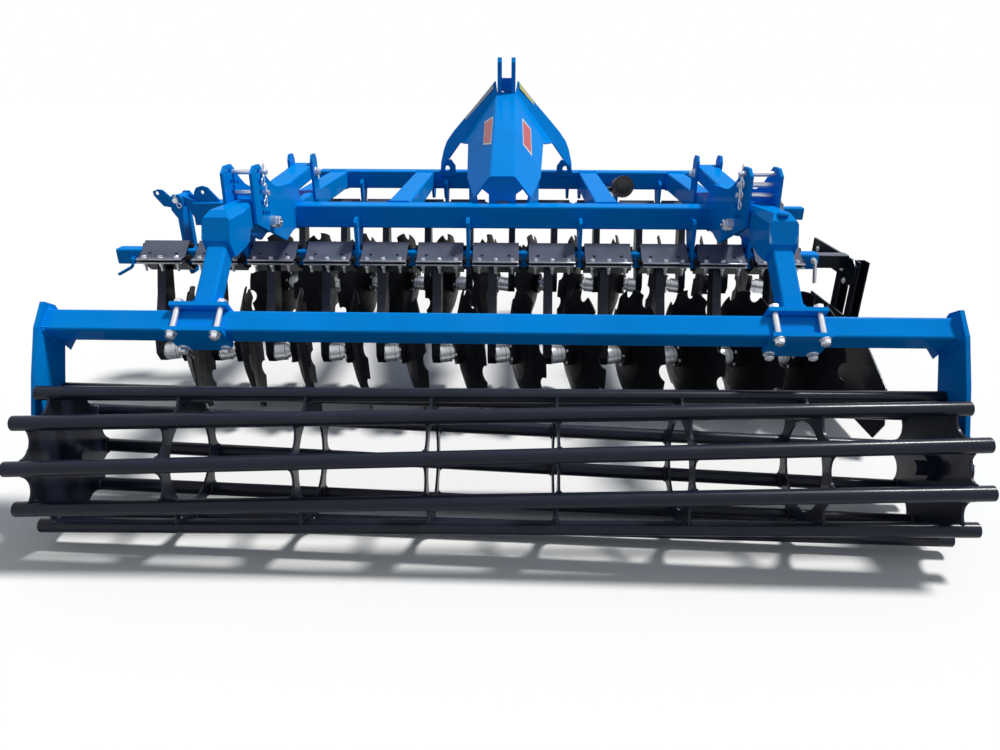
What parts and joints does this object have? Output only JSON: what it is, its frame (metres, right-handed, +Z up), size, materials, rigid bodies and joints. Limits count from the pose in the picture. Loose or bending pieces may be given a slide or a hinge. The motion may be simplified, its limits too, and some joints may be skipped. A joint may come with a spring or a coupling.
{
  "type": "mounted disc harrow",
  "caption": "Mounted compact disc harrow: square-tube frame, two rows of notched discs on cushioned arms, folded headstock and a height-set tube cage roller.",
  "frame": {"origin": "on the ground under the middle of the machine's extents", "axes": "+X to the machine's right, +Y forward along travel, +Z up"},
  "size_m": [3.51, 2.7003, 1.51],
  "materials": {
    "blue_paint": "semi-gloss powder coat",
    "black_paint": "satin, dusty",
    "roller_black": "semi-gloss",
    "disc_steel": "satin dark paint",
    "zinc": "zinc plated",
    "rubber": "matt",
    "black_plastic": "matt"
  },
  "bodies": {
    "frame": {"main_frame": "blue_paint", "hole_plates": "blue_paint", "upper_beam_lugs": "blue_paint", "side_arm_beam": "blue_paint", "rear_hangers": "blue_paint", "front_hangers": "blue_paint", "headstock": "blue_paint", "top_link_ears": "blue_paint", "lower_hitch": "blue_paint", "rear_disc_beam": "blue_paint", "front_disc_beam": "blue_paint", "rear_saddles": "black_paint", "front_saddles": "black_paint", "rear_cushions": "rubber", "front_cushions": "rubber", "rear_disc_arms": "black_paint", "front_disc_arms": "black_paint", "rear_hubs": "zinc", "front_hubs": "zinc", "depth_pins": "zinc", "pivot_bolts": "zinc", "shield_clamp": "zinc", "side_arm_pin": "zinc", "document_tube": "black_plastic"},
    "roller_carrier": {"roller_arms": "blue_paint", "roller_frame": "blue_paint", "bar_clamps": "blue_paint", "clamp_bolts": "zinc", "roller_bearings": "black_paint"},
    "roller": {"roller": "roller_black"},
    "rear_disc_01": {"rear_disc_01": "disc_steel"},
    "rear_disc_02": {"rear_disc_02": "disc_steel"},
    "rear_disc_03": {"rear_disc_03": "disc_steel"},
    "rear_disc_04": {"rear_disc_04": "disc_steel"},
    "rear_disc_05": {"rear_disc_05": "disc_steel"},
    "rear_disc_06": {"rear_disc_06": "disc_steel"},
    "rear_disc_07": {"rear_disc_07": "disc_steel"},
    "rear_disc_08": {"rear_disc_08": "disc_steel"},
    "rear_disc_09": {"rear_disc_09": "disc_steel"},
    "rear_disc_10": {"rear_disc_10": "disc_steel"},
    "rear_disc_11": {"rear_disc_11": "disc_steel"},
    "rear_disc_12": {"rear_disc_12": "disc_steel"},
    "front_disc_01": {"front_disc_01": "disc_steel"},
    "front_disc_02": {"front_disc_02": "disc_steel"},
    "front_disc_03": {"front_disc_03": "disc_steel"},
    "front_disc_04": {"front_disc_04": "disc_steel"},
    "front_disc_05": {"front_disc_05": "disc_steel"},
    "front_disc_06": {"front_disc_06": "disc_steel"},
    "front_disc_07": {"front_disc_07": "disc_steel"},
    "front_disc_08": {"front_disc_08": "disc_steel"},
    "front_disc_09": {"front_disc_09": "disc_steel"},
    "front_disc_10": {"front_disc_10": "disc_steel"},
    "front_disc_11": {"front_disc_11": "disc_steel"},
    "front_disc_12": {"front_disc_12": "disc_steel"},
    "side_shield": {"side_shield": "black_paint"},
    "side_arm": {"side_arm": "blue_paint"}
  },
  "joints": [
    {"name": "roller_height", "type": "hinge", "parent": "frame", "child": "roller_carrier", "pos_m": [0, -0.297, 0.889], "axis": [1, 0, 0], "range_deg": [0, 14]},
    {"name": "roller_spin", "type": "hinge", "parent": "roller_carrier", "child": "roller", "pos_m": [0, -1.097, 0.25595], "axis": [1, 0, 0], "continuous": true},
    {"name": "rear_disc_01_spin", "type": "hinge", "parent": "frame", "child": "rear_disc_01", "pos_m": [-1.44044, -0.16792, 0.27774], "axis": [0.9607, 0.2755, 0.0349], "continuous": true},
    {"name": "rear_disc_02_spin", "type": "hinge", "parent": "frame", "child": "rear_disc_02", "pos_m": [-1.19044, -0.16792, 0.27774], "axis": [0.9607, 0.2755, 0.0349], "continuous": true},
    {"name": "rear_disc_03_spin", "type": "hinge", "parent": "frame", "child": "rear_disc_03", "pos_m": [-0.94044, -0.16792, 0.27774], "axis": [0.9607, 0.2755, 0.0349], "continuous": true},
    {"name": "rear_disc_04_spin", "type": "hinge", "parent": "frame", "child": "rear_disc_04", "pos_m": [-0.69044, -0.16792, 0.27774], "axis": [0.9607, 0.2755, 0.0349], "continuous": true},
    {"name": "rear_disc_05_spin", "type": "hinge", "parent": "frame", "child": "rear_disc_05", "pos_m": [-0.44044, -0.16792, 0.27774], "axis": [0.9607, 0.2755, 0.0349], "continuous": true},
    {"name": "rear_disc_06_spin", "type": "hinge", "parent": "frame", "child": "rear_disc_06", "pos_m": [-0.19044, -0.16792, 0.27774], "axis": [0.9607, 0.2755, 0.0349], "continuous": true},
    {"name": "rear_disc_07_spin", "type": "hinge", "parent": "frame", "child": "rear_disc_07", "pos_m": [0.05956, -0.16792, 0.27774], "axis": [0.9607, 0.2755, 0.0349], "continuous": true},
    {"name": "rear_disc_08_spin", "type": "hinge", "parent": "frame", "child": "rear_disc_08", "pos_m": [0.30956, -0.16792, 0.27774], "axis": [0.9607, 0.2755, 0.0349], "continuous": true},
    {"name": "rear_disc_09_spin", "type": "hinge", "parent": "frame", "child": "rear_disc_09", "pos_m": [0.55956, -0.16792, 0.27774], "axis": [0.9607, 0.2755, 0.0349], "continuous": true},
    {"name": "rear_disc_10_spin", "type": "hinge", "parent": "frame", "child": "rear_disc_10", "pos_m": [0.80956, -0.16792, 0.27774], "axis": [0.9607, 0.2755, 0.0349], "continuous": true},
    {"name": "rear_disc_11_spin", "type": "hinge", "parent": "frame", "child": "rear_disc_11", "pos_m": [1.05956, -0.16792, 0.27774], "axis": [0.9607, 0.2755, 0.0349], "continuous": true},
    {"name": "rear_disc_12_spin", "type": "hinge", "parent": "frame", "child": "rear_disc_12", "pos_m": [1.30956, -0.16792, 0.27774], "axis": [0.9607, 0.2755, 0.0349], "continuous": true},
    {"name": "front_disc_01_spin", "type": "hinge", "parent": "frame", "child": "front_disc_01", "pos_m": [1.44044, 0.93208, 0.27774], "axis": [-0.9607, 0.2755, 0.0349], "continuous": true},
    {"name": "front_disc_02_spin", "type": "hinge", "parent": "frame", "child": "front_disc_02", "pos_m": [1.19044, 0.93208, 0.27774], "axis": [-0.9607, 0.2755, 0.0349], "continuous": true},
    {"name": "front_disc_03_spin", "type": "hinge", "parent": "frame", "child": "front_disc_03", "pos_m": [0.94044, 0.93208, 0.27774], "axis": [-0.9607, 0.2755, 0.0349], "continuous": true},
    {"name": "front_disc_04_spin", "type": "hinge", "parent": "frame", "child": "front_disc_04", "pos_m": [0.69044, 0.93208, 0.27774], "axis": [-0.9607, 0.2755, 0.0349], "continuous": true},
    {"name": "front_disc_05_spin", "type": "hinge", "parent": "frame", "child": "front_disc_05", "pos_m": [0.44044, 0.93208, 0.27774], "axis": [-0.9607, 0.2755, 0.0349], "continuous": true},
    {"name": "front_disc_06_spin", "type": "hinge", "parent": "frame", "child": "front_disc_06", "pos_m": [0.19044, 0.93208, 0.27774], "axis": [-0.9607, 0.2755, 0.0349], "continuous": true},
    {"name": "front_disc_07_spin", "type": "hinge", "parent": "frame", "child": "front_disc_07", "pos_m": [-0.05956, 0.93208, 0.27774], "axis": [-0.9607, 0.2755, 0.0349], "continuous": true},
    {"name": "front_disc_08_spin", "type": "hinge", "parent": "frame", "child": "front_disc_08", "pos_m": [-0.30956, 0.93208, 0.27774], "axis": [-0.9607, 0.2755, 0.0349], "continuous": true},
    {"name": "front_disc_09_spin", "type": "hinge", "parent": "frame", "child": "front_disc_09", "pos_m": [-0.55956, 0.93208, 0.27774], "axis": [-0.9607, 0.2755, 0.0349], "continuous": true},
    {"name": "front_disc_10_spin", "type": "hinge", "parent": "frame", "child": "front_disc_10", "pos_m": [-0.80956, 0.93208, 0.27774], "axis": [-0.9607, 0.2755, 0.0349], "continuous": true},
    {"name": "front_disc_11_spin", "type": "hinge", "parent": "frame", "child": "front_disc_11", "pos_m": [-1.05956, 0.93208, 0.27774], "axis": [-0.9607, 0.2755, 0.0349], "continuous": true},
    {"name": "front_disc_12_spin", "type": "hinge", "parent": "frame", "child": "front_disc_12", "pos_m": [-1.30956, 0.93208, 0.27774], "axis": [-0.9607, 0.2755, 0.0349], "continuous": true},
    {"name": "side_shield_slide", "type": "slide", "parent": "frame", "child": "side_shield", "axis": [1, 0, 0], "range_m": [-0.08, 0.12]},
    {"name": "side_arm_swing", "type": "hinge", "parent": "frame", "child": "side_arm", "pos_m": [-1.549, 0.263, 0.884], "axis": [0, 1, 0], "range_deg": [0, 90]}
  ]
}
